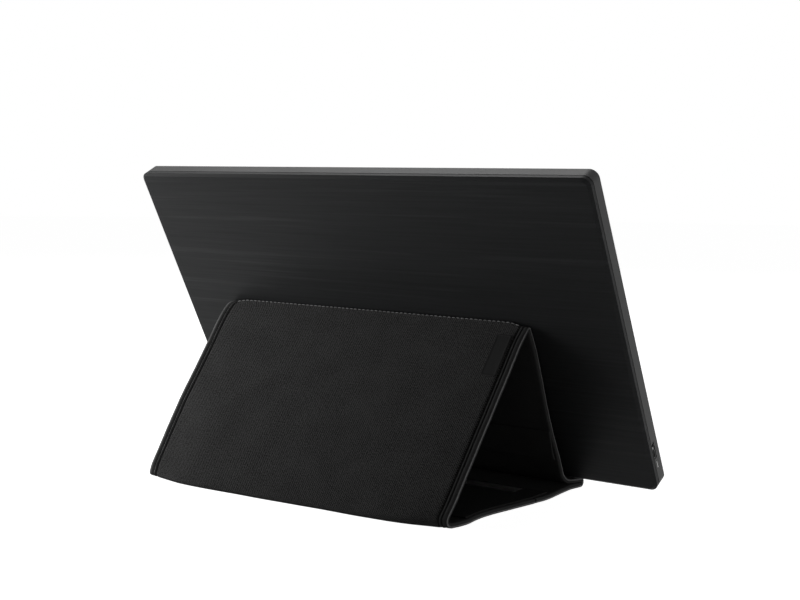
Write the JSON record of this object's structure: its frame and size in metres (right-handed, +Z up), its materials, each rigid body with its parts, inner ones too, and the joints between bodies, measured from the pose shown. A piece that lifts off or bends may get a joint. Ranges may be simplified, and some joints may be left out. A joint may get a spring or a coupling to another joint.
{
  "type": "portable monitor",
  "caption": "Thin portable monitor leaning on a cloth-covered folding cover that is closed into a hollow three-sided stand, with a side data socket and two bezel buttons.",
  "frame": {"origin": "on the table, at the middle of the footprint of the stand and the leaning display", "axes": "+X along the display's width, to the right for a viewer who faces the screen; +Y from the screen side towards the back, where the stand is; +Z up"},
  "size_m": [0.382, 0.1724, 0.2212],
  "materials": {
    "rear_shell": "dark grey with a fine horizontal brushed grain",
    "front_shell": "fine matte grain",
    "screen_glass": "matte anti-glare face",
    "film": "smooth diffusing film",
    "light_guide": "clear acrylic sheet",
    "white_film": "smooth white film",
    "lamp_strip": "white strip with yellow lamps",
    "foam": "soft dark foam",
    "steel": "thin pressed sheet",
    "steel_dark": "dark zinc plated",
    "circuit_board": "green solder mask",
    "ribbon": "amber flat ribbon",
    "black_plastic": "fine matte grain",
    "lens": "milky clear lens",
    "button": "smooth satin",
    "magnet": "bright nickel plate",
    "paperboard": "pressed grey-brown board",
    "cloth": "fine diagonal weave, dark grey",
    "lining": "brushed soft lining, near black",
    "binding": "tight edge binding, dark grey",
    "thread": "pale sewing thread",
    "tag_cloth": "smooth woven tag, left bare",
    "tongue_cloth": "smooth coated cloth"
  },
  "bodies": {
    "cover_base": {"base_cloth": "cloth", "base_lining": "lining", "base_board": "paperboard", "base_binding": "binding", "closure_magnets": "magnet", "toe_cloth": "cloth", "toe_board": "paperboard", "toe_binding": "binding", "toe_fold": "cloth", "inner_fold": "cloth"},
    "display": {"rear_cover": "rear_shell", "front_frame": "front_shell", "screen_gasket": "foam", "lcd_panel": "screen_glass", "optical_films": "film", "light_guide": "light_guide", "reflector": "white_film", "led_strip": "lamp_strip", "panel_tray": "steel", "panel_brackets": "steel", "panel_screws": "steel_dark", "foam_pads": "foam", "main_board": "circuit_board", "board_shield": "steel", "board_screws": "steel_dark", "timing_board": "circuit_board", "panel_ribbon": "ribbon", "usb_socket": "steel", "socket_tongue": "black_plastic", "key_board": "circuit_board", "key_switches": "black_plastic", "status_lens": "lens"},
    "power_button": {"power_button": "button"},
    "menu_button": {"menu_button": "button"},
    "inner_panel": {"inner_cloth": "cloth", "inner_lining": "lining", "inner_board": "paperboard", "inner_binding": "binding", "ridge_fold": "cloth"},
    "outer_panel": {"outer_cloth": "cloth", "outer_lining": "lining", "outer_board": "paperboard", "outer_binding": "binding", "foot_fold": "cloth", "ridge_stitches": "thread", "tag": "tag_cloth"},
    "flap": {"flap_cloth": "cloth", "flap_lining": "lining", "flap_board": "paperboard", "flap_binding": "binding", "closing_tongue": "tongue_cloth", "keeper_plate": "steel"}
  },
  "joints": [
    {"name": "display_tilt", "type": "hinge", "parent": "cover_base", "child": "display", "pos_m": [0, -0.0714, 0.00807], "axis": [-1, 0, 0], "range_deg": [0, 29.1]},
    {"name": "inner_fold_turn", "type": "hinge", "parent": "cover_base", "child": "inner_panel", "pos_m": [0.005, -0.06237, 0.0051], "axis": [-1, 0, 0], "range_deg": [0, 30]},
    {"name": "ridge_fold_turn", "type": "hinge", "parent": "inner_panel", "child": "outer_panel", "pos_m": [0.005, -0.01178, 0.1185], "axis": [1, 0, 0], "range_deg": [0, 50.2]},
    {"name": "foot_fold_turn", "type": "hinge", "parent": "outer_panel", "child": "flap", "pos_m": [0.005, 0.08463, 0.0016], "axis": [-1, 0, 0], "range_deg": [0, 20.21]},
    {"name": "power_press", "type": "slide", "parent": "display", "child": "power_button", "axis": [0, 0.887, -0.4617], "range_m": [0, 0.0004], "stiffness_N_per_m": 2500, "springref_m": -0.0002},
    {"name": "menu_press", "type": "slide", "parent": "display", "child": "menu_button", "axis": [0, 0.887, -0.4617], "range_m": [0, 0.0004], "stiffness_N_per_m": 2500, "springref_m": -0.0002}
  ],
  "couplings": [
    {"joint": "inner_fold_turn", "follows": "display_tilt", "ratio": 1.0307},
    {"joint": "ridge_fold_turn", "follows": "display_tilt", "ratio": 1.7248},
    {"joint": "foot_fold_turn", "follows": "display_tilt", "ratio": 0.69419}
  ]
}
